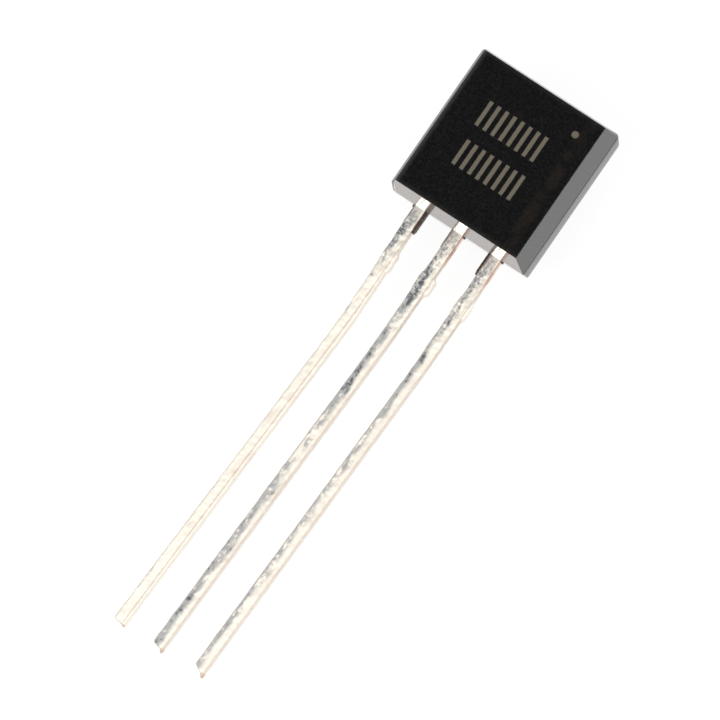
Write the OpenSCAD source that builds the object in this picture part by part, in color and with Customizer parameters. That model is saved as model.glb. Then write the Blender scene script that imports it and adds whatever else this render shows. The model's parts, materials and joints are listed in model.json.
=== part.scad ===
// Small-signal transistor in the TO-92 outline: a moulded epoxy case with one flat side
// and a round back, on three stamped and tinned leads, with the die and its bond wires inside.
// Lengths are in millimetres.
//
// Working frame: +X to the right as the flat side is seen with the leads down, +Y into the
// case, +Z up along the body. The mould's parting plane is y = 0, which is also the front
// face of the leads, and the leads come out of the case at z = 0.
// Finished frame: the part lies flat side up, on the back of its case and its lead tips,
// with +Z up, the leads towards -Y, and the origin on the table under the middle of it.

/* [Moulded case] */
// Width of the case at the parting line
case_w = 4.54; // [3.8:0.02:5.6]
// Height of the case at the parting line
case_h = 4.65; // [3.8:0.01:5.6]
// Depth from the flat face to the parting line
front_depth = 1.1; // [0.9:0.02:1.4]
// Draft of the sides beside the flat face, in degrees
front_side_draft = 12.8; // [4:0.2:20]
// Draft of the ends above and below the flat face, in degrees
front_end_draft = 6.8; // [2:0.1:14]
// Depth from the parting line to the crest of the round back
back_depth = 2.4; // [1.9:0.02:2.9]
// Depth of the straight sides behind the parting line
side_depth = 0.9; // [0.6:0.02:1.1]
// Draft of those straight sides, in degrees
back_side_draft = 1.5; // [0:0.5:5]
// Draft of the back half's top and bottom ends, in degrees
back_end_draft = 5; // [0:0.5:7]
// How far the back half stands proud of the front half at the parting line
parting_step = 0.02; // [0:0.005:0.04]
// Radius of the edges round the flat face
flat_edge_r = 0.07; // [0.02:0.01:0.15]
// Diameter of the ejector-pin mark on the back
ejector_d = 1.5; // [1:0.05:1.8]
// Depth of the ejector-pin mark below the crest of the back
ejector_sink = 0.15; // [0.1:0.01:0.3]

/* [Gate scar] */
// Width of the corner broken off with the moulding runner
gate_w = 0.28; // [0.1:0.01:0.5]
// Height of that corner
gate_h = 0.19; // [0.1:0.01:0.5]

/* [Leads] */
// Pitch of the three leads
lead_pitch = 1.27; // [1:0.01:1.5]
// How far the leadframe sits to the right of the middle of the case
lead_offset = 0.08; // [-0.1:0.01:0.1]
// Width of a lead
lead_w = 0.36; // [0.3:0.01:0.5]
// Thickness of the leadframe sheet
lead_t = 0.36; // [0.3:0.01:0.5]
// Length of a lead below the case
lead_len = 14.2; // [8:0.1:27]
// Distance from the case at which the leads take their sideways set
set_from = 3.4; // [3:0.1:6]
// Radius of that bend
set_r = 25; // [5:1:60]
// Sideways set of the emitter lead, in degrees
emitter_set = 2.2; // [0:0.1:5]
// Sideways set of the base lead, in degrees
base_set = 1.9; // [0:0.1:5]
// Sideways set of the collector lead, in degrees
collector_set = 1.6; // [0:0.1:5]
// How much shorter the emitter lead's left edge is sheared
emitter_shear = 0.02; // [0:0.01:0.4]
// How much shorter the base lead's left edge is sheared
base_shear = 0.08; // [0:0.01:0.4]
// How much shorter the collector lead's left edge is sheared
collector_shear = 0.2; // [0:0.01:0.4]

/* [Dam bar stubs] */
// Distance from the case to the sheared dam bar
dam_from = 1.4; // [1:0.05:2]
// Height of the dam bar
dam_h = 0.6; // [0.3:0.05:1]
// Stub left on the left edge of each lead, from emitter to collector
stub_left = [0.04, 0.07, 0.05]; // [0:0.01:0.2]
// Stub left on the right edge of each lead, from emitter to collector
stub_right = [0.05, 0.11, 0.05]; // [0:0.01:0.2]

/* [Resin flash beside the leads] */
// Width of the fin on the right of the emitter lead
emitter_fin_w = 0.06; // [0.02:0.005:0.12]
// Width of the fin on the left of the base lead
base_fin_w = 0.035; // [0.02:0.005:0.12]
// Width of the fin on the left of the collector lead
collector_fin_w = 0.05; // [0.02:0.005:0.12]
// Length of the emitter and collector fins below the case
fin_len = 0.68; // [0.2:0.02:1.2]
// Length of the base fin below the case
base_fin_len = 0.57; // [0.2:0.01:1.2]

/* [Leadframe inside the case] */
// Width of the emitter and base posts
post_w = 0.8; // [0.55:0.05:0.9]
// Height at which those posts begin
post_from = 0.85; // [0.5:0.05:1]
// Height of the top of those posts
post_top = 1.75; // [1.4:0.05:2]
// Gap between the posts and the paddle above them
paddle_gap = 0.4; // [0.3:0.05:0.6]
// Width of the die paddle
paddle_w = 2.3; // [1.8:0.05:2.5]
// Height of the die paddle
paddle_h = 1.4; // [1:0.05:1.6]
// Depth of the resin-locking notches in the paddle
notch = 0.2; // [0.1:0.02:0.3]

/* [Die and bond wires] */
// Side of the square silicon die
die_side = 0.48; // [0.3:0.02:0.7]
// Thickness of the die
die_t = 0.2; // [0.1:0.01:0.3]
// Thickness of the solder under the die
solder_t = 0.03; // [0.02:0.005:0.06]
// Width of the solder fillet round the die
solder_edge = 0.04; // [0.02:0.01:0.1]
// Diameter of the bond wire
wire_d = 0.03; // [0.025:0.005:0.05]
// Radius of the bend in which a wire rises off the die and turns over
loop_r = 0.24; // [0.16:0.01:0.34]
// Diameter of a bond at the end of a wire
bond_d = 0.09; // [0.07:0.005:0.14]

/* [Hidden] */
$fn = 48;
over = 1;                          // cutters run this far past what they cut
ARC_STEPS = 4;                     // straight steps in a lead's gentle bend

// The flat face, left by the front half's draft
front_w = case_w - 2 * parting_step;
flat_w = front_w - 2 * front_depth * tan(front_side_draft);
flat_h = case_h - 2 * front_depth * tan(front_end_draft);

// The round back: an arc from the end of the straight sides over the crest
side_end_x = case_w / 2 - side_depth * tan(back_side_draft);
back_rise = back_depth - side_depth;
back_r = (side_end_x * side_end_x + back_rise * back_rise) / (2 * back_rise);
back_centre_y = back_depth - back_r;
back_end_z = back_depth * tan(back_end_draft);

// Places of the leads and of what they carry
EMITTER = 0;
BASE = 1;
COLLECTOR = 2;
lead_x = [for (place = [-1, 0, 1]) lead_offset + place * lead_pitch];
lead_set = [emitter_set, base_set, collector_set];
lead_shear = [emitter_shear, base_shear, collector_shear];
paddle_right = lead_x[COLLECTOR] + lead_w / 2;
paddle_mid_x = paddle_right - paddle_w / 2;
paddle_from = post_top + paddle_gap;
paddle_mid_z = paddle_from + paddle_h / 2;
die_face_y = -(solder_t + die_t);
pad_offset = die_side / 4;         // the two bonds sit left and right of the die's middle
bond_h = wire_d * 1.2;             // a bond is a little taller than the wire is thick
post_mid_z = (post_from + post_top) / 2;

// Attitude at rest: the case's lower back edge and the lead tips both touch the table
tip_z = -(set_from + (lead_len - set_from) * cos(base_set));
rest_tilt = atan((back_depth - lead_t) / (back_end_z - tip_z));
rest_drop = -along_up(back_depth, back_end_z);
rest_shift = -(along_table(0, tip_z) + along_table(back_depth, case_h - back_end_z)) / 2;

// Height and distance along the table of a point (y, z) of the working frame
function along_up(y, z) = z * sin(rest_tilt) - y * cos(rest_tilt);
function along_table(y, z) = z * cos(rest_tilt) + y * sin(rest_tilt);

// Lays a piece of the working frame down as it rests on a table
module laid() {
    translate([0, rest_shift, rest_drop])
        rotate([rest_tilt - 90, 0, 0])
            children();
}

// An outline in X and Z, thickened into the case from the parting plane
module sheet(thickness) {
    translate([0, thickness, 0])
        rotate([90, 0, 0])
            linear_extrude(thickness)
                children();
}

// Section through the front half: it narrows by its draft from the parting plane to the
// flat face, whose two edges are rounded
module front_section(flat, parting, draft) {
    arc_x = flat / 2 - flat_edge_r * (1 - sin(draft)) / cos(draft);
    arc_y = flat_edge_r - front_depth;
    end_x = arc_x + flat_edge_r * cos(draft);
    end_y = arc_y - flat_edge_r * sin(draft);
    polygon([[-arc_x, -front_depth], [arc_x, -front_depth], [end_x, end_y],
             [parting / 2, 0], [-parting / 2, 0], [-end_x, end_y]]);
    for (side = [-1, 1])
        translate([side * arc_x, arc_y])
            circle(flat_edge_r);
}

// Section across the back half: straight drafted sides that end where the round back begins
module back_section() {
    polygon([[-case_w / 2, 0], [case_w / 2, 0], [side_end_x, side_depth], [-side_end_x, side_depth]]);
    intersection() {
        translate([0, back_centre_y])
            circle(back_r);
        translate([-case_w / 2 - over, side_depth])
            square([case_w + 2 * over, back_rise + over]);
    }
}

// Section along the back half: its two ends draw in by their draft
module back_end_section() {
    polygon([[-case_h / 2, 0], [case_h / 2, 0],
             [case_h / 2 - back_end_z, back_depth], [back_end_z - case_h / 2, back_depth]]);
}

// Turns an outline drawn across the case (X, Y) or up it (Z, Y) into a prism
module prism_up(height) {
    translate([0, 0, -over])
        linear_extrude(height + 2 * over)
            children();
}
module prism_across(width) {
    translate([-width / 2 - over, 0, case_h / 2])
        rotate([0, 90, 0])
            linear_extrude(width + 2 * over)
                children();
}

// Front mould half: the flat face with drafted sides and ends
module front_half() {
    intersection() {
        prism_up(case_h)
            front_section(flat_w, front_w, front_side_draft);
        prism_across(case_w)
            front_section(flat_h, case_h, front_end_draft);
    }
}

// Back mould half: straight sides that run into the round back
module back_half() {
    intersection() {
        prism_up(case_h)
            back_section();
        prism_across(case_w)
            back_end_section();
    }
}

// The slanting flat where the moulding runner was broken off a lower corner
module gate_scar() {
    translate([-case_w / 2, 0, gate_h])
        rotate([0, atan(gate_h / gate_w), 0])
            translate([-over, -front_depth - over, -over])
                cube([gate_w + gate_h + 2 * over, front_depth + back_depth + 2 * over, over]);
}

// The flat-bottomed mark of the pin that pushed the case out of the mould
module ejector_mark() {
    translate([0, back_depth - ejector_sink, case_h / 2])
        rotate([-90, 0, 0])
            cylinder(h = ejector_sink + over, d = ejector_d);
}

// A fin of resin that ran out beside a lead. side is -1 on the lead's left, 1 on its right.
module resin_fin(lead, side, width, length) {
    edge = lead_x[lead] + side * lead_w / 2;
    translate([side < 0 ? edge - width : edge, 0, -length])
        cube([width, lead_t, length + lead_t]);
}

module case() {
    color([0.1, 0.1, 0.1])
        difference() {
            union() {
                front_half();
                back_half();
                resin_fin(EMITTER, 1, emitter_fin_w, fin_len);
                resin_fin(BASE, -1, base_fin_w, base_fin_len);
                resin_fin(COLLECTOR, -1, collector_fin_w, fin_len);
            }
            gate_scar();
            ejector_mark();
            // the resin set round everything inside it, so each cavity is the piece itself
            emitter_lead();
            base_lead();
            collector_lead();
            die_solder();
            die();
            emitter_wire();
            base_wire();
        }
}

// A point on a lead's edge, off to one side of its middle line, after it has turned by
// angle along its bend and run on straight
function edge_point(lead, off, angle, run) =
    [lead_x[lead] - set_r + (set_r + off) * cos(angle) - run * sin(angle),
     -set_from - (set_r + off) * sin(angle) - run * cos(angle)];

// The bend of one edge, from its start to its end
function edge_bend(lead, off) =
    [for (i = [0:ARC_STEPS]) edge_point(lead, off, lead_set[lead] * i / ARC_STEPS, 0)];

// One edge down to the start of the bend, with the stub of the dam bar standing out of it
function edge_above(lead, off, stub, top) =
    let (x = lead_x[lead] + off, out = x + sign(off) * stub)
    [[x, top], [x, -dam_from], [out, -dam_from - stub],
     [out, stub - dam_from - dam_h], [x, -dam_from - dam_h]];

function turned_round(points) = [for (i = [len(points) - 1:-1:0]) points[i]];

// The stamped outline of a lead from its sheared tip up to a height inside the case
module shank(lead, top) {
    half = lead_w / 2;
    bend_len = set_r * lead_set[lead] * PI / 180;
    run = lead_len - set_from - bend_len;
    tip_left = edge_point(lead, -half, lead_set[lead], run - lead_shear[lead]);
    tip_right = edge_point(lead, half, lead_set[lead], run);
    polygon(concat(
        edge_above(lead, -half, stub_left[lead], top),
        edge_bend(lead, -half),
        [tip_left, tip_right],
        turned_round(edge_bend(lead, half)),
        turned_round(edge_above(lead, half, stub_right[lead], top))));
}

// The wide top of a lead, where a wire is bonded, with its lower corners cut back
module post(lead) {
    corner = (post_w - lead_w) / 4;
    translate([lead_x[lead], 0])
        polygon([[-lead_w / 2, post_from], [lead_w / 2, post_from],
                 [post_w / 2, post_from + corner], [post_w / 2, post_top],
                 [-post_w / 2, post_top], [-post_w / 2, post_from + corner]]);
}

// The collector's paddle, notched on its free edge and its top so that the resin grips it
module paddle() {
    left = paddle_right - paddle_w;
    top = paddle_from + paddle_h;
    difference() {
        translate([left, paddle_from])
            square([paddle_w, paddle_h]);
        polygon([[left - over, paddle_mid_z - notch - over], [left + notch, paddle_mid_z],
                 [left - over, paddle_mid_z + notch + over]]);
        polygon([[paddle_mid_x - notch - over, top + over], [paddle_mid_x, top - notch],
                 [paddle_mid_x + notch + over, top + over]]);
    }
}

module emitter_lead() {
    color([0.82, 0.8, 0.76])
        sheet(lead_t) {
            shank(EMITTER, post_top);
            post(EMITTER);
        }
}

module base_lead() {
    color([0.82, 0.8, 0.76])
        sheet(lead_t) {
            shank(BASE, post_top);
            post(BASE);
        }
}

module collector_lead() {
    color([0.82, 0.8, 0.76])
        sheet(lead_t) {
            shank(COLLECTOR, paddle_from + paddle_h / 2);
            paddle();
        }
}

// A square plate on the front of the paddle, between two distances in front of it
module on_paddle(side, from, to) {
    translate([paddle_mid_x - side / 2, -to, paddle_mid_z - side / 2])
        cube([side, to - from, side]);
}

module die_solder() {
    color([0.6, 0.6, 0.62])
        on_paddle(die_side + 2 * solder_edge, 0, solder_t);
}

module die() {
    color([0.25, 0.27, 0.32])
        on_paddle(die_side, solder_t, solder_t + die_t);
}

// The squashed end of a wire, standing on a face at a height
module bond(face_h) {
    translate([0, face_h, 0])
        rotate([-90, 0, 0])
            cylinder(h = bond_h, d = bond_d);
}

// A wire looped from the die at from = [x, z] to a post at to = [x, z]. In the plane that
// holds both bonds it rises upright off the die, bends over and runs straight down.
module bond_wire(from, to) {
    run = norm(to - from);
    heading = atan2(to[1] - from[1], to[0] - from[0]);
    start_h = bond_h / 2 - die_face_y;
    reach = [run - loop_r, bond_h / 2 - start_h];
    leave = atan2(reach[1], reach[0]) + acos(loop_r / norm(reach));
    descent = sqrt(reach * reach - loop_r * loop_r);
    translate([from[0], 0, from[1]])
        rotate([0, -heading, 0])
            rotate([180, 0, 0]) {
                bond(-die_face_y);
                translate([run, 0, 0])
                    bond(0);
                translate([loop_r, start_h, 0])
                    rotate([0, 0, leave]) {
                        rotate_extrude(angle = 180 - leave)
                            translate([loop_r, 0])
                                circle(d = wire_d);
                        translate([loop_r, 0, 0])
                            rotate([90, 0, 0])
                                cylinder(h = descent, d = wire_d);
                    }
            }
}

module emitter_wire() {
    color([0.95, 0.76, 0.35])
        bond_wire([paddle_mid_x - pad_offset, paddle_mid_z], [lead_x[EMITTER], post_mid_z]);
}

module base_wire() {
    color([0.95, 0.76, 0.35])
        bond_wire([paddle_mid_x + pad_offset, paddle_mid_z], [lead_x[BASE], post_mid_z]);
}

laid() case();
laid() emitter_lead();
laid() base_lead();
laid() collector_lead();
laid() die_solder();
laid() die();
laid() emitter_wire();
laid() base_wire();
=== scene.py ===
# %% [markdown]
# # A small transistor in a moulded case
#
# The object is a plastic-cased transistor: a black moulded block with one flat side and a
# round back, on three long tinned leads. It lies flat side up on a table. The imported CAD
# model is loaded first. It fixes where every piece lies, and nothing in it is moved here. The
# pieces made here follow its sizes, but the case's two ends lean a little otherwise.

# %% Load the frame
import json
import math
import bmesh
import bpy
from mathutils import Matrix, Vector


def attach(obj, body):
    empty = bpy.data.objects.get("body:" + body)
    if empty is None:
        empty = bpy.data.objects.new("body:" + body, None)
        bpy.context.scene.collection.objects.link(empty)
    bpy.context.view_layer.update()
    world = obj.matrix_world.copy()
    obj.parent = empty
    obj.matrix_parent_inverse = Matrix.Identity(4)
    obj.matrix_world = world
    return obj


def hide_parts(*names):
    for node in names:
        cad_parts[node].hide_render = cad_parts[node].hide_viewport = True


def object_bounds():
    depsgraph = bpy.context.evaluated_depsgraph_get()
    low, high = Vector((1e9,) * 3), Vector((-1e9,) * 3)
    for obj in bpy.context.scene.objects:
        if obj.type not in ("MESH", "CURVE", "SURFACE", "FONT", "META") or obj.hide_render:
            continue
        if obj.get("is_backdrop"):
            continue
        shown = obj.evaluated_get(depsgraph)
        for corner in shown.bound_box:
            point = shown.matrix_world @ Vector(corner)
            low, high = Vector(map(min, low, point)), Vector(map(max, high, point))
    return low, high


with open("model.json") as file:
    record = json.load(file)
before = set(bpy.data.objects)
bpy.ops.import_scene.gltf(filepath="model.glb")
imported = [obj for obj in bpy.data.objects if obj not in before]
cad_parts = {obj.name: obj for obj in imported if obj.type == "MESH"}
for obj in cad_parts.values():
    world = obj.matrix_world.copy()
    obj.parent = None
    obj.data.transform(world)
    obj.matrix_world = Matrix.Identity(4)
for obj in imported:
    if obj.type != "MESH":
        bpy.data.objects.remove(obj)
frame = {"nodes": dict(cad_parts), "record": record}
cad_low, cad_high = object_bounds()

print("CAD nodes:", sorted(frame["nodes"]))

# %% [markdown]
# ## A frame to work in
#
# A maker draws this part standing: X to the right as the flat side is seen with the leads
# down, Y into the case, Z up along it, and zero where the leads leave the case. Blender's
# tools also like units near 1, so each piece is modelled there in millimetres and laid down
# once, at the end, by one matrix. The matrix comes from the flat side's mount in the record,
# so a piece lands exactly where the CAD model has it.

# %% The case's driving sizes, in millimetres
MM = 0.001
case_w = 4.54
case_h = 4.73
front_depth = 1.1
flat_w = 4.0
flat_low = 0.13
flat_top = 4.52
flat_middle_z = (flat_low + flat_top) / 2
print(f"flat side: {flat_w:.2f} x {flat_top - flat_low:.2f} mm")

# %% The matrix that lays a piece down
flat_mount = next(m for m in frame["record"]["mounts"] if m["name"] == "flat_face")
flat_out = Vector(flat_mount["axis"])
tilt = math.atan2(-flat_out.y, flat_out.z)
turn = Matrix.Rotation(tilt - math.pi / 2, 4, "X")
flat_middle = turn @ Vector((0, -front_depth, flat_middle_z)) * MM
zero = Vector(flat_mount["pos_m"]) - flat_middle
lay_down = Matrix.Translation(zero) @ turn @ Matrix.Scale(MM, 4)
print(f"the case is tipped {math.degrees(tilt):.2f} degrees towards its leads")

# %% [markdown]
# ## Small helpers
#
# Every tool in edit mode acts on what is selected, so the helpers deselect everything and
# then select by a rule: a test on where a face, edge or vertex is and which way it faces.

# %% Objects
def only(piece):
    """Selects one object and nothing else."""
    bpy.ops.object.select_all(action="DESELECT")
    piece.select_set(True)
    bpy.context.view_layer.objects.active = piece


def begin_edit(piece):
    """Opens an object in edit mode with nothing selected."""
    only(piece)
    bpy.ops.object.mode_set(mode="EDIT")
    bpy.ops.mesh.select_all(action="DESELECT")


def end_edit():
    bpy.ops.object.mode_set(mode="OBJECT")


def block(name, low, high):
    """A cube primitive stretched between two corners."""
    low, high = Vector(low), Vector(high)
    bpy.ops.object.select_all(action="DESELECT")
    bpy.ops.mesh.primitive_cube_add(size=1, location=(low + high) / 2)
    piece = bpy.context.object
    piece.name = piece.data.name = name
    piece.scale = high - low
    bpy.ops.object.transform_apply(location=True, rotation=True, scale=True)
    return piece


def modify(piece, kind, **settings):
    """Adds a modifier, sets it and applies it."""
    only(piece)
    modifier = piece.modifiers.new(kind.title(), kind)
    for key, value in settings.items():
        setattr(modifier, key, value)
    bpy.ops.object.modifier_apply(modifier=modifier.name)


def cut_away(piece, cutter):
    """Subtracts one object from another and deletes the cutter."""
    modify(piece, "BOOLEAN", object=cutter, operation="DIFFERENCE", solver="EXACT")
    bpy.data.objects.remove(cutter)


# %% Selections and cuts in edit mode
def pick(piece, kind, test):
    """Selects each face, edge or vertex that passes the test. A face is tested by its middle
    and normal, an edge by its two ends, and a vertex by its place."""
    bpy.ops.mesh.select_all(action="DESELECT")
    bpy.ops.mesh.select_mode(type=kind)
    mesh = bmesh.from_edit_mesh(piece.data)
    if kind == "FACE":
        found = [f for f in mesh.faces if test(f.calc_center_median(), f.normal)]
    elif kind == "EDGE":
        found = [e for e in mesh.edges if test(e.verts[0].co, e.verts[1].co)]
    else:
        found = [v for v in mesh.verts if test(v.co)]
    for element in found:
        element.select_set(True)
    mesh.select_flush_mode()
    bmesh.update_edit_mesh(piece.data)
    return len(found)


def cut(point, normal, remove=True):
    """Cuts the whole mesh by a plane, and removes what lies on the normal's side."""
    bpy.ops.mesh.select_all(action="SELECT")
    bpy.ops.mesh.bisect(
        plane_co=point, plane_no=normal, use_fill=remove, clear_outer=remove, threshold=1e-6
    )


def pull(move):
    """Extrudes the selection and moves the new part."""
    bpy.ops.mesh.extrude_region_move(TRANSFORM_OT_translate={"value": move})


def swing(angle, axis, centre):
    """Turns the selection right-handed about an axis through a point."""
    bpy.ops.transform.rotate(value=-angle, orient_axis=axis, center_override=centre)


# %% [markdown]
# ## The moulded case: the back half
#
# The case is cast in a mould of two halves that meet at the leads. Its back half is a round
# crest on two straight sides, and each wall leans a little, so that the part comes out of
# the mould. One way is to draw the outline and extrude it, but then the leaning ends
# need more work. A cylinder cut by five planes gives them all at once: the parting plane,
# two sides and two ends.

# %% Sizes of the back half
back_depth = 2.4
side_depth = 0.9
back_side_draft = math.radians(1.5)
bottom_draft = math.radians(7.5)
top_draft = math.radians(2)
back_facets = 320
side_end = case_w / 2 - side_depth * math.tan(back_side_draft)
rise = back_depth - side_depth
back_r = (side_end**2 + rise**2) / (2 * rise)
print(f"the round back has a radius of {back_r:.3f} mm")

# %% A cylinder, cut by five planes
bpy.ops.object.select_all(action="DESELECT")
bpy.ops.mesh.primitive_cylinder_add(
    vertices=back_facets, radius=back_r, depth=case_h,
    location=(0, back_depth - back_r, case_h / 2)
)
case = bpy.context.object
case.name = case.data.name = "moulded_case"
bpy.ops.object.transform_apply(location=True, rotation=True, scale=True)
begin_edit(case)
cut((0, 0, 0), (0, -1, 0))
for side in (-1, 1):
    lean = Vector((side * math.cos(back_side_draft), math.sin(back_side_draft), 0))
    cut((side * case_w / 2, 0, 0), lean)
for z, up, draft in ((0, -1, bottom_draft), (case_h, 1, top_draft)):
    cut((0, 0, z), (0, math.sin(draft), up * math.cos(draft)))
end_edit()

# %% [markdown]
# The pin that pushed the part out of its mould left a shallow round seat in the back. It is
# cut out with a cylinder now, while the block's faces are still few.

# %% The ejector's seat
ejector_r = 0.75
ejector_sink = 0.15
ejector_z = 2.325
ejector_facets = 96
bpy.ops.object.select_all(action="DESELECT")
bpy.ops.mesh.primitive_cylinder_add(
    vertices=ejector_facets, radius=ejector_r, depth=1, rotation=(math.pi / 2, 0, 0),
    location=(0, back_depth - ejector_sink + 0.5, ejector_z)
)
cut_away(case, bpy.context.object)
print(f"after the seat: {len(case.data.polygons)} faces")

begin_edit(case)

# %% [markdown]
# ## The front half
#
# The front half grows out of the same block. Two mould halves never line up perfectly, so a
# narrow ledge runs down the right side: the parting face is cut there, and only the rest is
# pulled forward. Then the new face is shrunk to the flat side, which leans all four walls
# inwards. The shrinking is centred where it puts the bottom and the top edge right at once.

# %% Cut the parting face, extrude and shrink
parting_step = 0.008


def parting(middle, normal):
    return normal.y < -0.99


def beside_ledge(middle, normal):
    return parting(middle, normal) and middle.x < case_w / 4


pick(case, "FACE", parting)
ledge = (case_w / 2 - parting_step, 0, 0)
bpy.ops.mesh.bisect(plane_co=ledge, plane_no=(1, 0, 0), threshold=1e-6)
pick(case, "FACE", beside_ledge)
pull((0, -front_depth, 0))
shrink_w = flat_w / (case_w - parting_step)
shrink_h = (flat_top - flat_low) / case_h
bpy.ops.transform.resize(
    value=(shrink_w, 1, shrink_h), center_override=(0, -front_depth, flat_low / (1 - shrink_h)))

# %% [markdown]
# A cutter leaves small radii in a mould. The rims of the back and the edge round the flat
# side are bevelled with several segments. The top rim is the softest.

# %% Round the rims and the flat side's edge
near = 1e-4
flat_edge_r = 0.055
bottom_r = 0.05
top_r = 0.12


def bottom_rim(a, b):
    lean = math.tan(bottom_draft)
    return a.y + b.y > near and max(abs(p.z - p.y * lean) for p in (a, b)) < near


def top_rim(a, b):
    lean = math.tan(top_draft)
    return a.y + b.y > near and max(abs(case_h - p.z - p.y * lean) for p in (a, b)) < near


def round_flat(a, b):
    return max(a.y, b.y) < near - front_depth


for test, radius, segments in (
    (bottom_rim, bottom_r, 8), (top_rim, top_r, 9), (round_flat, flat_edge_r, 8)
):
    count = pick(case, "EDGE", test)
    bpy.ops.mesh.bevel(offset=radius, segments=segments, affect="EDGES")
    print(f"{test.__name__}: {count} edges rounded to {radius} mm")

# %% [markdown]
# The four leaning corners of the front are sharp at the flat side and grow rounder towards
# the parting line, and behind it the top ones stay nearly as round. A bevel can't change its
# width on the way, so each corner is shaved by a fan of planes, all tangent to the cone that
# it should be.

# %% Shave the corners to cones
shaves = 8
sharp_r = 0.012
crest_r = 0.09


def shave_corner(start, end, start_r, end_r, side, up):
    """Rounds the corner between two points by a radius that changes on the way. It is on the
    right if side is 1, and at the top if up is 1."""
    depth = end.y - start.y
    for step in range(1, shaves + 1):
        angle = math.radians(90) * step / (shaves + 1)
        out = Vector((side * math.cos(angle), 0, up * math.sin(angle)))
        spare = math.cos(angle) + math.sin(angle) - 1
        first = start - out * spare * start_r
        last = end - out * spare * end_r
        lean = Vector((0, -out.dot(last - first) / depth, 0))
        cut(first, (out + lean).normalized())


for side in (-1, 1):
    for up, flat_z, parting_z, parting_r in (
        (-1, flat_low, 0, bottom_r), (1, flat_top, case_h, top_r)
    ):
        flat_corner = Vector((side * flat_w / 2, -front_depth, flat_z))
        parting_corner = Vector((side * case_w / 2, 0, parting_z))
        if side > 0:
            parting_corner.x -= parting_step
        shave_corner(flat_corner, parting_corner, sharp_r, parting_r, side, up)
    outer_corner = Vector((side * case_w / 2, 0, case_h))
    crest_z = case_h - side_depth * math.tan(top_draft)
    crest_corner = Vector((side * side_end, side_depth, crest_z))
    shave_corner(outer_corner, crest_corner, top_r, crest_r, side, 1)

# %% [markdown]
# ## The scar of the gate
#
# A lower corner was the gate, where resin flowed in, and breaking off the runner left a
# slanting scar. One slanting cut makes it. Then normals weighted by area keep the big faces
# flat beside their rounded edges.

# %% The gate scar, and smooth shading
gate_w = 0.28
gate_h = 0.19
gate_slant = math.atan(gate_h / gate_w)
cut((-case_w / 2, 0, gate_h), (-math.sin(gate_slant), -0.05, -math.cos(gate_slant)))
bpy.ops.mesh.select_all(action="SELECT")
bpy.ops.mesh.remove_doubles(threshold=near)
bpy.ops.mesh.normals_make_consistent(inside=False)
end_edit()
only(case)
bpy.ops.object.shade_smooth_by_angle(angle=math.radians(11))
modify(case, "WEIGHTED_NORMAL", keep_sharp=True)
print(f"case: {len(case.data.polygons)} faces")

# %% [markdown]
# ## Resin flash
#
# A little resin escapes beside the leads and sets as thin brown fins. They are ragged, so
# each starts as a thin block, is subdivided, tapers towards its end and is roughened.

# %% Sizes of the leads
lead_pitch = 1.27
lead_offset = 0.08
lead_w = 0.36
lead_t = 0.36
lead_len = 14.2
lead_x = [lead_offset + place * lead_pitch for place in (-1, 0, 1)]

# %% One fin
fin_root = 0.03
fin_top = 0.3
fin_slices = 8
fin_rough = 0.003


def fin(lead, side, width, length, front, seed):
    """A fin on a lead's left side, -1, or its right side, 1. It starts at a depth, front."""
    edge = lead_x[lead] + side * lead_w / 2
    near_x, far_x = edge - side * fin_root, edge + side * width
    low = (min(near_x, far_x), front, -length)
    high = (max(near_x, far_x), lead_t - fin_root, fin_top)
    piece = block(f"flash_{lead}", low, high)
    begin_edit(piece)
    for z in [-length * step / fin_slices for step in range(fin_slices)]:
        cut((0, 0, z), (0, 0, 1), remove=False)
    bpy.ops.mesh.select_all(action="SELECT")
    bpy.ops.mesh.subdivide(number_cuts=1)
    pick(piece, "VERT", lambda place: place.z < -length * 0.9)
    bpy.ops.transform.resize(value=(0.85, 0.8, 1), center_override=(edge, lead_t / 2, -length))
    pick(piece, "VERT", lambda place: place.z < -0.02)
    bpy.ops.transform.vertex_random(offset=fin_rough, seed=seed)
    end_edit()
    return piece


# %% Three long fins and three stumps
# Each row is a lead, its side, the fin's width, length and front, and a seed.
fin_plans = (
    (0, 1, 0.075, 0.68, 0.06, 3),
    (1, -1, 0.045, 0.57, 0.16, 5),
    (2, -1, 0.075, 0.68, 0.07, 8),
    (0, -1, 0.05, 0.06, 0.1, 11),
    (1, 1, 0.035, 0.02, 0.1, 13),
    (2, 1, 0.035, 0.02, 0.1, 17),
)
fins = [fin(*plan) for plan in fin_plans]
bpy.ops.object.select_all(action="DESELECT")
for piece in fins:
    piece.select_set(True)
bpy.context.view_layer.objects.active = fins[0]
bpy.ops.object.join()
flash = bpy.context.object
flash.name = flash.data.name = "resin_flash"
bpy.ops.object.shade_smooth_by_angle(angle=math.radians(40))
print(f"flash: {len(flash.data.polygons)} faces")

# %% [markdown]
# ## The leads
#
# A lead is stamped from copper sheet and dipped in tin, so it is a square bar whose edges
# the tin has rounded and whose faces it has left lumpy. The plain bar is made first: a block
# with cross cuts where something changes, the stubs where the dam bar was sheared off, and
# a slanting tip. Then it is turned, a little at a time, into its sideways set. A voxel
# remesh and a few smoothing passes melt the edges like tin, and two noise textures push the
# skin in and out.

# %% Sizes of the leads' details
dam_from = 1.4
dam_h = 0.6
set_from = 3.4
set_r = 25
post_w = 0.8
post_from = 0.85
post_top = 1.75
paddle_w = 2.3
paddle_h = 1.4
paddle_from = post_top + 0.4
notch = 0.2
skin = 0.024
tip_spare = 0.1
burr_w = 0.1
half_w = lead_w / 2


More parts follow.
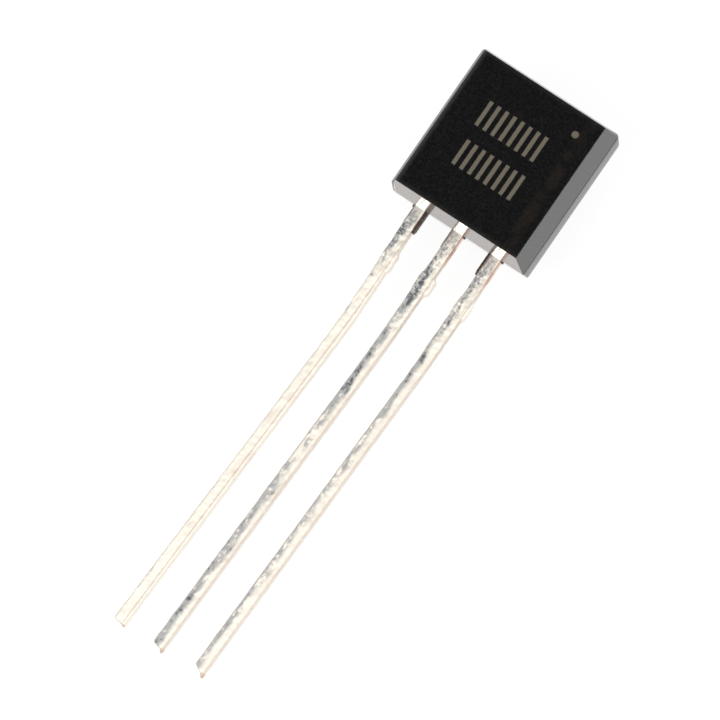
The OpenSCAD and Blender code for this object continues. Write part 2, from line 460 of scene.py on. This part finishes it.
# %% The bar and its stubs
def bar(name, x, top, stubs):
    """A square bar with a stub of the dam bar on each edge."""
    piece = block(name, (x - half_w, 0, -lead_len - tip_spare), (x + half_w, lead_t, top))
    begin_edit(piece)
    for z in (-dam_from, -dam_from - dam_h, post_from, paddle_from):
        cut((0, 0, z), (0, 0, 1), remove=False)
    for side, reach in zip((-1, 1), stubs):
        at_dam = -dam_from - dam_h / 2
        pick(piece, "FACE", lambda middle, normal: (
            normal.x * side > 0.9 and abs(middle.z - at_dam) < dam_h / 2))
        pull((side * reach, 0, 0))
        bpy.ops.transform.resize(
            value=(1, 1, 1 - 2 * reach / dam_h), center_override=(x, 0, at_dam))
    return piece


# %% [markdown]
# Inside the case the emitter's and the base's leads widen into posts, where a bond wire
# lands, and the collector's carries the paddle under the die. They can't be seen, but the
# model would be wrong without them.

# %% The posts and the paddle
def widen(piece, side, reach, low, high):
    """Pulls out one side of a bar between two heights."""
    pick(piece, "FACE", lambda middle, normal: (
        normal.x * side > 0.9 and low < middle.z < high))
    pull((side * reach, 0, 0))


def add_post(piece):
    for side in (-1, 1):
        widen(piece, side, (post_w - lead_w) / 2, post_from, post_top)


def add_paddle(piece):
    widen(piece, -1, paddle_w - lead_w, paddle_from, paddle_from + paddle_h)


def cut_notches(piece, left):
    """Two V notches in the paddle, which the resin grips."""
    middle_z = paddle_from + paddle_h / 2
    for x, z in ((left, middle_z), (left + paddle_w / 2, paddle_from + paddle_h)):
        bpy.ops.object.select_all(action="DESELECT")
        bpy.ops.mesh.primitive_cube_add(
            size=notch * math.sqrt(2), location=(x, lead_t / 2, z), rotation=(0, math.pi / 4, 0))
        cut_away(piece, bpy.context.object)


# %% The tip, with its burr
def shear_tip(x, shear):
    """Cuts the tip slanting."""
    slant = Vector((-shear, 0, -lead_w)).normalized()
    cut((x + half_w, 0, -lead_len), slant)


def hang_burr(piece, x, burr):
    """Draws out the tip's right edge, as blunt shears do."""
    cut((x + half_w - burr_w, 0, 0), (1, 0, 0), remove=False)
    pick(piece, "FACE", lambda middle, normal: (
        normal.z < -0.8 and middle.z < -lead_len + 0.3 and middle.x > x + half_w - burr_w))
    pull((0.005, 0, -burr))
    bpy.ops.transform.resize(
        value=(0.5, 0.45, 1), center_override=(x + half_w, lead_t * 0.2, -lead_len))


# %% Bends
def bend(piece, x, bends):
    """Turns all of the lead below each distance, one bend after another. A bend is a
    distance below the case and an angle in degrees, which is positive towards the left."""
    for distance, angle in bends:
        cut((0, 0, -distance), (0, 0, 1), remove=False)
    for distance, angle in reversed(bends):
        pick(piece, "VERT", lambda place: place.z < -distance - near)
        swing(math.radians(angle), "Y", (x, 0, -distance))


def set_bends(angle):
    """The lead's sideways set, shared out over four small bends."""
    length = set_r * math.radians(angle)
    return [(set_from + length * (step + 0.5) / 4, angle / 4) for step in range(4)]


# %% [markdown]
# The tin is thickest and roughest just below the case, where the hot dip ended, and calmer
# further down. A vertex group holds how rough each place is, and the noise follows it.

# %% Melt the edges and roughen the skin
calm_above = 0.25
lumpy_to = 3.2
calm_weight = 0.45
lumps = ((0.42, 0.034), (0.13, 0.02))


def tin_skin(piece, seed):
    """Melts a bar's edges, then pushes its skin in and out by lumps of two sizes."""
    modify(piece, "REMESH", mode="VOXEL", voxel_size=skin)
    modify(piece, "SMOOTH", factor=0.5, iterations=7)
    rough = piece.vertex_groups.new(name="rough")
    for vertex in piece.data.vertices:
        z = vertex.co.z
        if z > -calm_above:
            weight = 0
        elif z > -lumpy_to:
            weight = min(1, (-calm_above - z) / 0.4)
        else:
            weight = calm_weight
        rough.add([vertex.index], weight, "REPLACE")
    for size, depth in lumps:
        noise = bpy.data.textures.new(f"tin_{seed}_{size}", "CLOUDS")
        noise.noise_scale = size
        noise.noise_depth = 1
        only(piece)
        modify(piece, "DISPLACE", texture=noise, texture_coords="LOCAL", strength=depth,
               mid_level=0.5, vertex_group="rough")
        bpy.data.textures.remove(noise)
    modify(piece, "SMOOTH", factor=0.5, iterations=2)
    only(piece)
    bpy.ops.object.shade_smooth()
    print(f"{piece.name}: {len(piece.data.polygons)} faces")


# %% The three leads
wander = [(0.5, -1.8), (2.6, 1.1), (3.6, 0.9)]
lead_plans = {
    "emitter": dict(set=2.2, shear=0.02, burr=0.05, stubs=(0.015, 0.06), extra=wander),
    "base": dict(set=1.9, shear=0.08, burr=0.09, stubs=(0.03, 0.1), extra=[]),
    "collector": dict(set=1.6, shear=0.2, burr=0.07, stubs=(0.02, 0.06), extra=[]),
}
leads = []
for place, (name, plan) in enumerate(lead_plans.items()):
    x = lead_x[place]
    is_collector = name == "collector"
    top = paddle_from + paddle_h if is_collector else post_top
    piece = bar(f"tinned_{name}", x, top, plan["stubs"])
    if is_collector:
        add_paddle(piece)
    else:
        add_post(piece)
    shear_tip(x, plan["shear"])
    hang_burr(piece, x, plan["burr"])
    bend(piece, x, sorted(set_bends(plan["set"]) + plan["extra"]))
    bpy.ops.mesh.select_all(action="SELECT")
    bpy.ops.mesh.normals_make_consistent(inside=False)
    end_edit()
    if is_collector:
        cut_notches(piece, x + half_w - paddle_w)
    tin_skin(piece, place)
    leads.append(piece)

# %% [markdown]
# ## Lay the pieces down
#
# Every piece now goes to its place on the table by the one matrix. Its place is then applied
# to its mesh, so the object itself sits unturned at the origin, as the CAD nodes do.

# %% Place, ride and replace
for piece in (case, flash, *leads):
    piece.matrix_world = lay_down
    only(piece)
    bpy.ops.object.transform_apply(location=True, rotation=True, scale=True)
    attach(piece, "root")
for piece in (case, flash):
    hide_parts("case")
for name, piece in zip(lead_plans, leads):
    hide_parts(f"{name}_lead")

# %% [markdown]
# ## A short way to write materials
#
# A finish is a formula over the surface, so it is written as one. A Signal is a socket of a
# node tree: sums and products of signals add Math nodes. Every other node comes from one
# method, which takes its type, its settings and the values or links of its sockets.

# %% Signals
class Signal:
    """An output socket that sums can be written with."""

    def __init__(self, finish, socket):
        self.finish = finish
        self.socket = socket

    def math(self, operation, *values):
        sockets = dict(enumerate((self, *values)))
        return self.finish.node("ShaderNodeMath", {"operation": operation}, sockets)

    def __add__(self, other):
        return self.math("ADD", other)

    def __sub__(self, other):
        return self.math("SUBTRACT", other)

    def __rsub__(self, other):
        return (self * -1) + other

    def __mul__(self, other):
        return self.math("MULTIPLY", other)

    def __truediv__(self, other):
        return self.math("DIVIDE", other)

    __radd__ = __add__
    __rmul__ = __mul__

    def size(self):
        return self.math("ABSOLUTE")

    def most(self, other):
        return self.math("MAXIMUM", other)

    def least(self, other):
        return self.math("MINIMUM", other)

    def rises(self, start, end):
        """0 below start, 1 above end and smooth between them. It falls if end is less."""
        flip = end < start
        low, high = min(start, end), max(start, end)
        step = self.finish.node(
            "ShaderNodeMapRange", {"interpolation_type": "SMOOTHSTEP"},
            {"Value": self, "From Min": low, "From Max": high},
        )
        return 1 - step if flip else step


class Finish:
    """A node tree that is being written."""

    def __init__(self, tree):
        self.tree = tree
        tree.nodes.clear()

    def node(self, kind, settings=None, sockets=None, out=0):
        made = self.tree.nodes.new(kind)
        for key, value in (settings or {}).items():
            setattr(made, key, value)
        for key, value in (sockets or {}).items():
            if isinstance(key, int):
                target = made.inputs[key]
            else:
                target = next(s for s in made.inputs if s.name == key and s.enabled)
            if isinstance(value, Signal):
                self.tree.links.new(value.socket, target)
            else:
                target.default_value = value
        live = [s for s in made.outputs if s.enabled]
        if isinstance(out, str):
            return Signal(self, next(s for s in live if s.name == out))
        return Signal(self, live[out]) if live else made

    def mix(self, factor, start, end):
        """A blend of two colours."""
        settings = {"data_type": "RGBA"}
        return self.node("ShaderNodeMix", settings, {"Factor": factor, "A": start, "B": end})

    def noise(self, place, scale, detail=2.0, roughness=0.5):
        sockets = {"Vector": place, "Scale": scale, "Detail": detail, "Roughness": roughness}
        return self.node("ShaderNodeTexNoise", None, sockets)

    def ramp(self, value, stops):
        """A smooth curve of numbers through a list of (place, height) stops."""
        made = self.node("ShaderNodeValToRGB", None, {"Fac": value})
        ramp = made.socket.node.color_ramp
        ramp.interpolation = "EASE"
        while len(ramp.elements) < len(stops):
            ramp.elements.new(0.5)
        for element, (place, height) in zip(ramp.elements, stops):
            element.position = place
            element.color = (height, height, height, 1)
        return made

    def bump(self, height, distance, strength=1.0):
        sockets = {"Height": height, "Distance": distance * MM, "Strength": strength}
        return self.node("ShaderNodeBump", None, sockets)

    def plastic(self, **values):
        sockets = {key.replace("_", " "): value for key, value in values.items()}
        return self.node("ShaderNodeBsdfPrincipled", None, sockets)

    def output(self, surface):
        self.node("ShaderNodeOutputMaterial", None, {"Surface": surface})


def new_material(name):
    material = bpy.data.materials.new(name)
    material.use_nodes = True
    return material, Finish(material.node_tree)


def grey(level):
    return (level, level, level, 1)


# %% [markdown]
# Patterns are easiest in the maker's own frame and in millimetres, so a Mapping node undoes
# the laying down: it turns Object coordinates back, scales them and shifts them.

# %% Back to the maker's frame
back_turn = turn.inverted()
back_zero = -(back_turn @ zero) / MM


def maker_place(finish):
    """The place on the piece, in millimetres in the maker's frame, and its X, Y and Z."""
    coordinates = finish.node("ShaderNodeTexCoord", out="Object")
    place = finish.node("ShaderNodeMapping", {"vector_type": "POINT"}, {
        "Vector": coordinates, "Location": back_zero,
        "Rotation": back_turn.to_euler(), "Scale": (1 / MM, 1 / MM, 1 / MM),
    })
    x, y, z = (finish.node("ShaderNodeSeparateXYZ", None, {"Vector": place}, out)
               for out in ("X", "Y", "Z"))
    return place, x, y, z


# %% [markdown]
# ## Black epoxy
#
# The flat side was moulded against a spark-eroded face: it is dead matt and nearly black,
# with a fine grain. The leaning walls were polished so that the part would slip out, so they
# are a little greyer and carry a clear coat that catches the light. Much of their grey is
# painted reflection: the bottom end and the right side are painted paler, as the pale floor
# would show in them, and the left side keeps the flat black. A painted highlight also
# lightens the flat side along its left edge and its ends. One material knows the wall it is
# on from the place alone: how far a point lies beyond the flat side's outline, divided by the
# wall's lean, is its depth, and the larger of the two depths tells a side from an end.

# %% Where the walls are
seam_blur = 0.02
wall_from = 0.02
wall_full = 0.09


def walls(x, y, z, ragged):
    """Masks of the sides, the bottom end, the top end and the back half. Ragged is a small
    number that shifts the edges of the first three."""
    across = (x.size() - flat_w / 2) * (front_depth * 2 / (case_w - flat_w)) + ragged
    below = (flat_low - z) * (front_depth / flat_low) + ragged
    above = (z - flat_top) * (front_depth / (case_h - flat_top)) + ragged
    along = below.most(above)
    back = y.rises(-0.012, 0.0)
    front = 1 - back
    side = (across - along).rises(-seam_blur, seam_blur) * across.rises(wall_from, wall_full) * front
    end = (along - across).rises(-seam_blur, seam_blur) * along.rises(wall_from, wall_full) * front
    back_bottom = (z - y * math.tan(bottom_draft)).rises(0.03, 0.01) * back
    back_top = (case_h - z - y * math.tan(top_draft)).rises(0.03, 0.01) * back
    upper = z.rises(1, 2)
    return side, (end * (1 - upper)).most(back_bottom), (end * upper).most(back_top), back


# %% [markdown]
# ## The laser mark
#
# A laser bleaches the resin to a beige grey. The mark here is a plain one, two rows of
# upright ticks and a dot near a corner. Each tick is a distance test on a repeated
# coordinate, and the dot is a distance to a point.

# %% Sizes of the mark
tick_w = 0.115
tick_h = 0.8
tick_pitch = 0.262
tick_count = 8
rows = ((-0.09, 3.01), (-0.01, 1.76))
dot_at = (1.43, 3.9)
dot_r = 0.1
tick_blur = 0.015
print(f"{len(rows) * tick_count} ticks and a dot")


def laser_mark(finish, x, y, z):
    """1 inside a tick or the dot, and 0 elsewhere."""
    flat_place = finish.node("ShaderNodeCombineXYZ", None, {"X": x, "Y": z})
    wobble = finish.noise(flat_place, 9.0) - 0.5
    x = x + wobble * 0.02
    z = z + wobble * 0.02
    half_row = tick_pitch * tick_count / 2
    inked = None
    for middle_x, middle_z in rows:
        along = x - middle_x
        inside = 1 - along.size().rises(half_row - 0.001, half_row + 0.001)
        cell = (along / tick_pitch + tick_count).math("FRACT") - 0.5
        stroke = (cell.size() * tick_pitch).rises(tick_w / 2 + tick_blur, tick_w / 2 - tick_blur)
        tall = (z - middle_z).size().rises(tick_h / 2 + tick_blur, tick_h / 2 - tick_blur)
        row = inside * stroke * tall
        inked = row if inked is None else inked.most(row)
    dot_x = x - dot_at[0]
    dot_z = z - dot_at[1]
    from_dot = (dot_x * dot_x + dot_z * dot_z).math("SQRT")
    dot = from_dot.rises(dot_r + 0.02, dot_r - 0.02)
    return inked.most(dot) * y.rises(0.03 - front_depth, 0.01 - front_depth)


# %% The epoxy
flat_black = (0.0018, 0.0018, 0.0019, 1)
speck_grey = (0.0135, 0.0132, 0.0138, 1)
warm_black = (0.018, 0.0135, 0.0102, 1)
# Painted highlight: a paler grey for the flat side's left edge and its ends.
edge_sheen_grey = (0.062, 0.059, 0.056, 1)
# The right side's own grey with painted reflection of the pale floor; the left side gets none.
side_reflection_dark = (0.022, 0.023, 0.021, 1)
side_reflection_pale = (0.036, 0.036, 0.034, 1)
# The bottom end's own grey, made much paler by painted reflection of the pale floor.
bottom_grey_and_reflection = (0.228, 0.195, 0.172, 1)
top_grey = (0.03, 0.028, 0.026, 1)
back_grey = (0.042, 0.035, 0.029, 1)
mark_beige = (0.155, 0.135, 0.103, 1)


def epoxy():
    """The whole case's finish: the flat side, the polished walls, the back and the mark."""
    material, finish = new_material("black_epoxy")
    place, x, y, z = maker_place(finish)
    grain = finish.noise(place, 16.0, 3.0, 0.75)
    fine = finish.noise(place, 42.0, 2.0, 0.6)
    blotch = finish.noise(place, 2.2, 2.0, 0.5)
    side, bottom, top, back = walls(x, y, z, (grain - 0.5) * 0.12)
    mark = laser_mark(finish, x, y, z)
    right_edge = flat_w / 2
    stripe = x.rises(right_edge - 0.62, right_edge - 0.42)
    stripe = stripe * x.rises(right_edge - 0.1, right_edge - 0.26) * blotch.rises(0.3, 0.6)
    # A painted highlight along the flat side's left edge, and a weaker one at its two ends.
    off_left = x + flat_w / 2
    off_end = (z - flat_low).least(flat_top - z)
    edge_sheen = off_left.rises(0.16, -0.06) * 0.9 + off_end.rises(0.16, -0.02) * 0.2
    black = finish.mix((grain - 0.5) * 2.8 + 0.2, flat_black, speck_grey)
    black = finish.mix(stripe * (0.2 + grain * 0.7), black, warm_black)
    black = finish.mix((edge_sheen * (0.5 + grain)).least(1), black, edge_sheen_grey)
    # Only the right side is painted paler, as painted reflection; the left side stays black.
    is_left = x.rises(0, -1)
    side_grey_and_reflection = finish.mix(grain.rises(0.35, 0.65), side_reflection_dark, side_reflection_pale)
    colour = finish.mix(side * (1 - is_left), black, side_grey_and_reflection)
    colour = finish.mix(back, colour, back_grey)
    colour = finish.mix(bottom, colour, bottom_grey_and_reflection)
    colour = finish.mix(top, colour, top_grey)
    colour = finish.mix(mark * (0.75 + fine * 0.4), colour, mark_beige)
    smooth = side.most(bottom).most(top).most(back)
    rough = 0.62 - smooth * 0.3 + (fine - 0.5) * 0.1
    height = (fine * 0.6 + grain) * (1 - smooth) - mark * 0.4
    back_coat = (y * 0.22 + 0.29).least(0.48)
    coat = (side * (1 - is_left * 0.96) * 0.72).most(back * back_coat).most(bottom).most(top * 0.6)
    bsdf = finish.plastic(
        Base_Color=colour, Roughness=rough, Specular_IOR_Level=0.07, Coat_Weight=coat,
        Coat_Roughness=0.08, Coat_IOR=1.8, Normal=finish.bump(height, 0.012),
    )
    finish.output(bsdf)
    return material


case.data.materials.append(epoxy())
print("epoxy:", len(case.data.materials[0].node_tree.nodes), "nodes")

# %% [markdown]
# ## Resin flash
#
# In a thin fin the same resin lets light through, and looks dark brown.

# %% Brown flash
def brown_resin():
    material, finish = new_material("brown_resin")
    place, *_ = maker_place(finish)
    cloud = finish.noise(place, 12.0, 3.0, 0.6)
    colour = finish.mix(cloud.rises(0.35, 0.7), (0.035, 0.018, 0.012, 1), (0.09, 0.05, 0.033, 1))
    finish.output(finish.plastic(
        Base_Color=colour, Roughness=0.4 + cloud * 0.2, Specular_IOR_Level=0.4,
        Normal=finish.bump(cloud, 0.02),
    ))
    return material


flash.data.materials.append(brown_resin())

# %% [markdown]
# ## Tinned copper
#
# Hot-dipped tin is cream white. The grey and dark stripes on it are painted reflection: they
# stand for the dark parts of the tent mirrored in the lumpy tin. They lie along a lead and keep
# to its left, and each lead has its own. A ramp says how much painted reflection a lead has at
# each distance below the case, and noise stretched along the lead breaks that up. A brownish
# line runs down both edges, partly thin tin at a sharp edge and partly painted dark
# reflection in the rounded edges. Near the case the sheared side of a lead still shows its
# copper, and so does the cut tip.

# %% The tin of one lead
ramp_length = 15.0
tin_cream = (0.96, 0.9, 0.8, 1)
tin_beige = (0.78, 0.68, 0.58, 1)
# Painted reflection colours: the dark parts of the tent seen in the tin, in grey and near black.
reflected_grey = (0.44, 0.44, 0.43, 1)
reflected_dark = (0.12, 0.13, 0.145, 1)
# The edge line's colour is partly thin tin and partly painted dark reflection in the rounded edges.
edge_tint_and_reflection = (0.5, 0.4, 0.33, 1)
copper_dark = (0.42, 0.22, 0.15, 1)
copper_pink = (0.95, 0.6, 0.46, 1)
burnt_tip = (0.66, 0.47, 0.34, 1)


def tin(name, x0, angle, plan):
    """The finish of one lead, at x0 and set sideways by an angle."""
    material, finish = new_material(f"tin_{name}")
    place, x, y, z = maker_place(finish)
    down = z * -1
    lean = math.tan(math.radians(angle))
    u = x - x0 + (down - set_from).most(0) * lean
    stretched = finish.node("ShaderNodeCombineXYZ", None, {"X": u, "Y": y, "Z": z * 0.4})
    streak = finish.noise(stretched, 6.0, 2.0, 0.5)
    fleck = finish.noise(place, 9.0, 3.0, 0.55)
    drift = finish.noise(stretched, 2.0, 1.0, 0.5)
    stops = [(distance / ramp_length, dark) for distance, dark in plan["reflection_stops"]]
    much = finish.ramp(down / ramp_length, stops)
    near_case = down.rises(1.1, 0.5)
    reach = (drift - 0.5) * 0.3 + near_case * 0.12 + plan["reach"]
    left = (u - reach).rises(0.09, -0.07) * (0.45 + u.rises(-0.17, -0.1) * 0.55)
    front = y.rises(0.24, 0.12)
    rough_zone = down.rises(3.2, 2.0)
    cloud = (streak - 0.5) * 1.5 + (fleck - 0.5) * (0.9 + rough_zone * 1.5)
    hot = down.rises(0.45, 0.3)
    # Painted reflection: grey and dark stripes on the left of the lead's front.
    grey_reflection = (much + cloud).rises(0.27, 0.6) * left * front * (1 - hot * 0.2)
    dark_reflection = (much + cloud).rises(0.7, 0.98) * left * front * (1 - hot)
    # The brownish edge lines: partly thin tin, partly painted dark reflection.
    edge = (u - half_w + 0.01).size().least((u + half_w - 0.03).size())
    at_edge = edge.rises(0.04, 0.0) * (0.25 + fleck * 0.5)
    mottle = (drift + (streak - 0.5) * 0.8).rises(0.5, 0.75) * 0.35
    colour = finish.mix(mottle, tin_cream, tin_beige)
    colour = finish.mix(at_edge, colour, edge_tint_and_reflection)
    colour = finish.mix(grey_reflection, colour, reflected_grey)
    colour = finish.mix(dark_reflection, colour, reflected_dark)
    bare = down.rises(1.1, 0.6) * plan["copper"]
    seam = (u - half_w + 0.012).size().rises(0.028, 0.0)
    colour = finish.mix(bare * u.rises(half_w - 0.03, half_w - 0.01), colour, copper_pink)
    colour = finish.mix(bare * seam * 0.85, colour, copper_dark)
    tip = (down + u * plan["slant"] + fleck * 0.05 - lead_len).rises(-0.02, 0.05)
    colour = finish.mix(tip * 0.8, colour, burnt_tip)
    rough = 0.48 + fleck * 0.1 - near_case * 0.12 - hot * 0.32
    bsdf = finish.plastic(
        Base_Color=colour, Metallic=0.85 - grey_reflection * 0.3, Roughness=rough,
        Normal=finish.bump((streak + fleck * 0.3) * (1 - hot), 0.008),
    )
    finish.output(bsdf)
    return material


# %% The three leads' painted reflections
# A plan says how far the painted dark reflections reach across, how much copper is bare, how
# slanting the tip is, and how much painted dark reflection the lead has at some distances below the
# case.
tin_plans = [
    dict(reach=-0.02, copper=0, slant=0.05, reflection_stops=[
        (0, 0.22), (0.4, 0.55), (0.6, 0.45), (0.85, 0.8), (1.35, 0.8), (1.6, 0.45),
        (2.2, 0.15), (5, 0.05), (14, 0.12)]),
    dict(reach=0.03, copper=1, slant=0.2, reflection_stops=[
        (0, 0.25), (0.25, 0.35), (0.42, 0.3), (0.65, 0.35), (1.5, 0.85), (2.5, 0.85), (3.2, 0.5),
        (5.4, 0.8), (7, 0.35), (9.5, 0.62)]),
    dict(reach=-0.02, copper=1, slant=0.5, reflection_stops=[
        (0, 0.22), (0.3, 0.32), (0.45, 0.4), (0.65, 0.45), (1, 0.7), (1.6, 0.45), (2.6, 0.7),
        (5, 0.6), (7, 0.5), (14, 0.5)]),
]
for place, (name, plan) in enumerate(lead_plans.items()):
    leads[place].data.materials.append(tin(name, lead_x[place], plan["set"], tin_plans[place]))
    print(f"{name}: {len(tin_plans[place]['reflection_stops'])} stops")

# %% [markdown]
# ## Inside the case
#
# The die, its solder and the two bond wires keep their CAD meshes, as their shapes are right.
# Resin hides them, but someone may take the model apart, so each gets its own finish.

# %% Solder, silicon and gold
def inner_finish(name, dark, light, scale, metallic, rough):
    material, finish = new_material(name)
    place, *_ = maker_place(finish)
    cloud = finish.noise(place, scale, 3.0, 0.6)
    finish.output(finish.plastic(
        Base_Color=finish.mix(cloud, dark, light), Metallic=metallic,
        Roughness=rough + cloud * 0.15, Normal=finish.bump(cloud, 0.002),
    ))
    return material


gold = inner_finish("bond_gold_wire", (0.85, 0.55, 0.2, 1), (1, 0.77, 0.38, 1), 30, 1.0, 0.2)
inner = {
    "die_solder": inner_finish(
        "soft_solder", (0.35, 0.35, 0.37, 1), (0.6, 0.6, 0.61, 1), 20, 1.0, 0.4),
    "die": inner_finish(
        "silicon_chip", (0.05, 0.06, 0.09, 1), (0.13, 0.14, 0.19, 1), 8, 0.6, 0.15),
    "emitter_wire": gold,
    "base_wire": gold,
}
for name, material in inner.items():
    slots = frame["nodes"][name].material_slots
    for slot in slots:
        slot.material = material
    print(f"{name}: {material.name}")

# %% [markdown]
# ## The floor
#
# The object lies on a wide pale sheet. To the camera and to reflections it shows white, and
# it keeps a trace of the object's shadow. To everything else it is plain white paper.

# %% A wide white sheet
bpy.ops.object.select_all(action="DESELECT")
bpy.ops.mesh.primitive_plane_add(size=3, location=(0, 0, 0))
floor = bpy.context.object
floor.name = "floor"
material, finish = new_material("white_sheet")
rays = finish.node("ShaderNodeLightPath")
path = rays.socket.node
seen = Signal(finish, path.outputs["Is Camera Ray"])
for kind in ("Is Glossy Ray", "Is Transmission Ray"):
    seen = seen.most(Signal(finish, path.outputs[kind]))
paper = finish.node("ShaderNodeBsdfDiffuse", None, {"Color": grey(0.8)})
shade = finish.node("ShaderNodeBsdfDiffuse", None, {"Color": grey(0.16)})
glow = finish.node("ShaderNodeEmission", None, {"Color": grey(1), "Strength": 0.88})
white = finish.node("ShaderNodeAddShader", None, {0: shade, 1: glow})
finish.output(finish.node("ShaderNodeMixShader", None, {0: seen, 1: paper, 2: white}))
floor.data.materials.append(material)
floor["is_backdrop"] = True

# %% [markdown]
# ## The light
#
# The set is a light tent: a soft white dome, brighter on the right, with a dark gap in it to
# the upper left. A shiny bar shows the dome's bright and dark parts, and that is what makes
# metal look like metal. One soft box hangs above, towards the lead tips.

# %% The tent
def direction(side, along, up):
    return Vector((side, along, up)).normalized()


def spot(finish, view, middle, full, none):
    """1 within an angle of a direction, falling to 0 at a wider one."""
    dot = finish.node(
        "ShaderNodeVectorMath", {"operation": "DOT_PRODUCT"}, {0: view, 1: middle}, "Value")
    return dot.rises(math.cos(math.radians(none)), math.cos(math.radians(full)))


world = bpy.data.worlds.new("light_tent")
bpy.context.scene.world = world
world.use_nodes = True
sky = Finish(world.node_tree)
view = sky.node("ShaderNodeTexCoord", out="Generated")
gap = spot(sky, view, direction(-0.62, 0.0, 0.78), 12, 34)
right = spot(sky, view, direction(0.75, 0.1, 0.65), 10, 75)
tent = (0.78 + right * 0.4) * (1 - gap * 0.9)
camera_ray = sky.node("ShaderNodeLightPath", out="Is Camera Ray")
strength = tent * (1 - camera_ray) + camera_ray
background = sky.node("ShaderNodeBackground", None, {"Color": grey(1), "Strength": strength})
sky.node("ShaderNodeOutputWorld", None, {"Surface": background})

# %% The soft box
box_direction = direction(-0.17, -0.51, 0.84)
box_distance = 0.15
box_size = 0.07
box_power = 0.066
bpy.ops.object.select_all(action="DESELECT")
bpy.ops.object.light_add(type="AREA", location=box_direction * box_distance)
lamp = bpy.context.object
lamp.name = "soft_box"
lamp.data.shape = "DISK"
lamp.data.size = box_size
lamp.data.energy = box_power
lamp.rotation_euler = box_direction.to_track_quat("Z", "Y").to_euler()
print(f"the soft box hangs {box_direction.z * box_distance * 1000:.0f} mm up")

# %% [markdown]
# ## The camera
#
# A long lens stands over the flat side, a little to its right and towards the lead tips, and
# is turned so that the leads run to the lower left.

# %% A long lens over the flat side
to_right = math.radians(10.6)
to_tips = math.radians(8)
roll = math.radians(34.64)
view_w = 19.817 * MM
camera_distance = 0.7
look_at = (-0.138, -0.059, -4.466)
back = Vector((
    math.sin(to_right) * math.cos(to_tips), -math.cos(to_right) * math.cos(to_tips),
    -math.sin(to_tips),
))
level = Vector((0, 0, 1)).cross(back).normalized()
upright = back.cross(level)
right_axis = level * math.cos(roll) + upright * math.sin(roll)
up_axis = upright * math.cos(roll) - level * math.sin(roll)
facing = turn.to_3x3() @ Matrix((right_axis, up_axis, back)).transposed()
aim = lay_down @ Vector(look_at)
bpy.ops.object.camera_add(location=aim + facing.col[2] * camera_distance)
camera = bpy.context.object
camera.rotation_euler = facing.to_euler()
camera.data.sensor_width = 36
camera.data.lens = camera.data.sensor_width * camera_distance / view_w
camera.data.clip_start = 0.01
camera.data.clip_end = 10
bpy.context.scene.camera = camera
bpy.context.scene.view_settings.view_transform = "Standard"
print(f"lens {camera.data.lens:.0f} mm")

# %% [markdown]
# ## Sizes, and the end
#
# The box of the finished pieces is printed beside the CAD model's box.

# %% Print both boxes
low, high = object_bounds()
sizes = {"cad": [list(cad_low), list(cad_high)], "visual": [list(low), list(high)]}
for which, (a, b) in sizes.items():
    print(which, [round((q - p) / MM, 3) for p, q in zip(a, b)], "mm")
